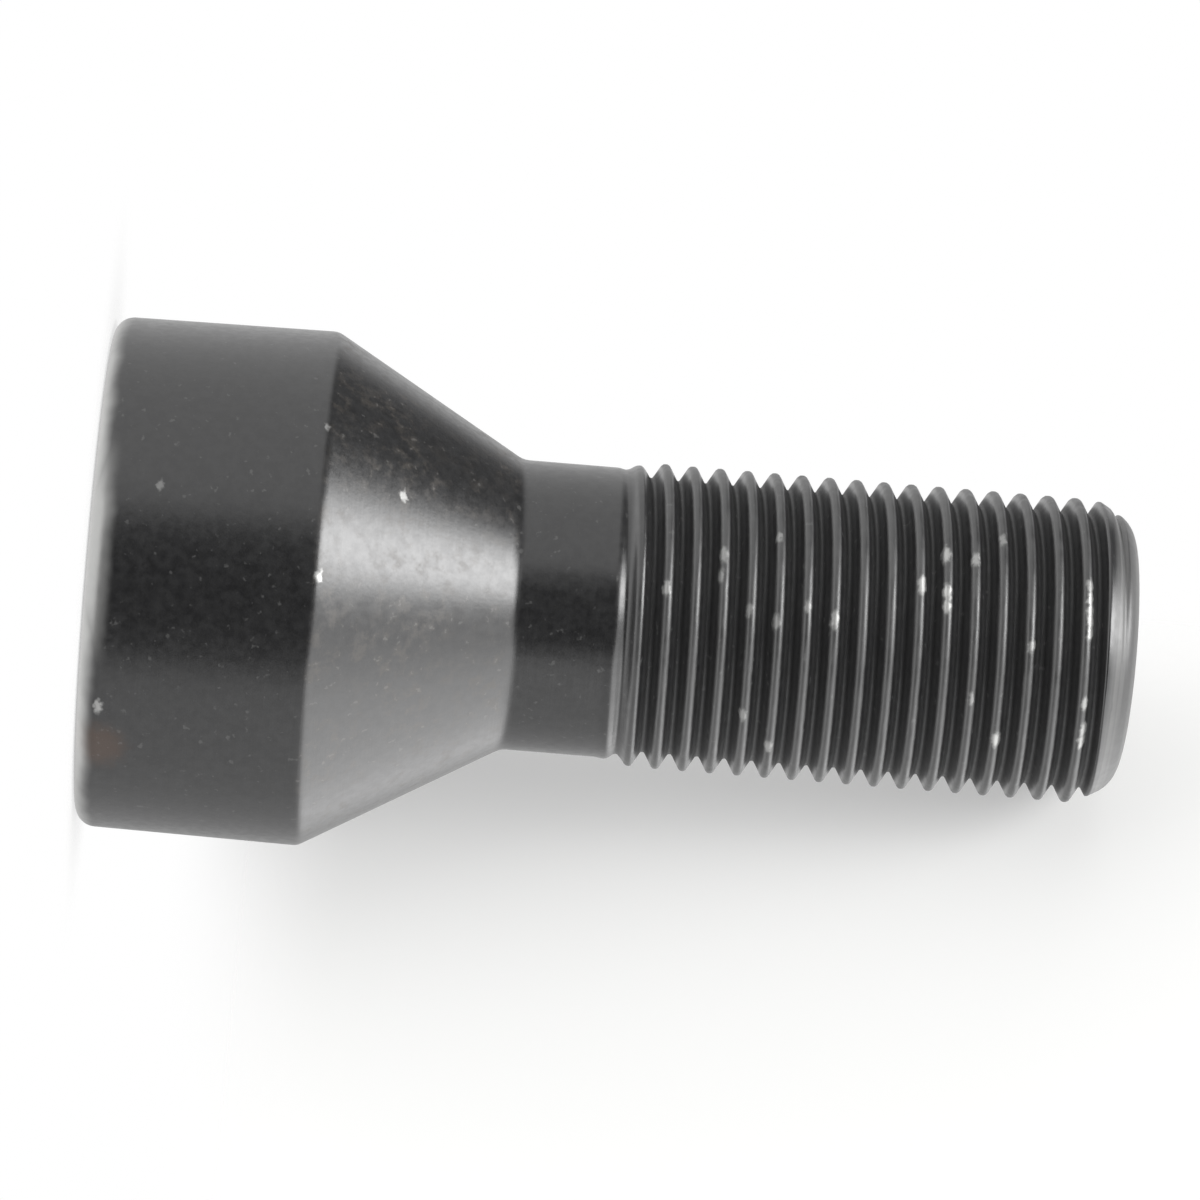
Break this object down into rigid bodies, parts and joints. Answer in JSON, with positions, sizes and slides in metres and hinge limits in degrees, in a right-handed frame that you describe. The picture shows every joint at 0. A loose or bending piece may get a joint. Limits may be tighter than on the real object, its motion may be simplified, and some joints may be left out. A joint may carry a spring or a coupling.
{
  "type": "wheel bolt",
  "caption": "Black steel wheel bolt with a round head, a conical seat, a short plain shank, a fine right-hand thread and a lobed key groove in its end face.",
  "frame": {"origin": "centre of the head's end face, which the bolt stands on", "axes": "+Z along the bolt's axis, from the head to the tip; +X through a lobe of the key groove"},
  "size_m": [0.0234, 0.0234, 0.0469],
  "materials": {
    "black_steel": "satin black coat over steel, rubbed bright in specks along the thread's crests"
  },
  "bodies": {
    "root": {"wheel_bolt": "black_steel"}
  },
  "joints": []
}
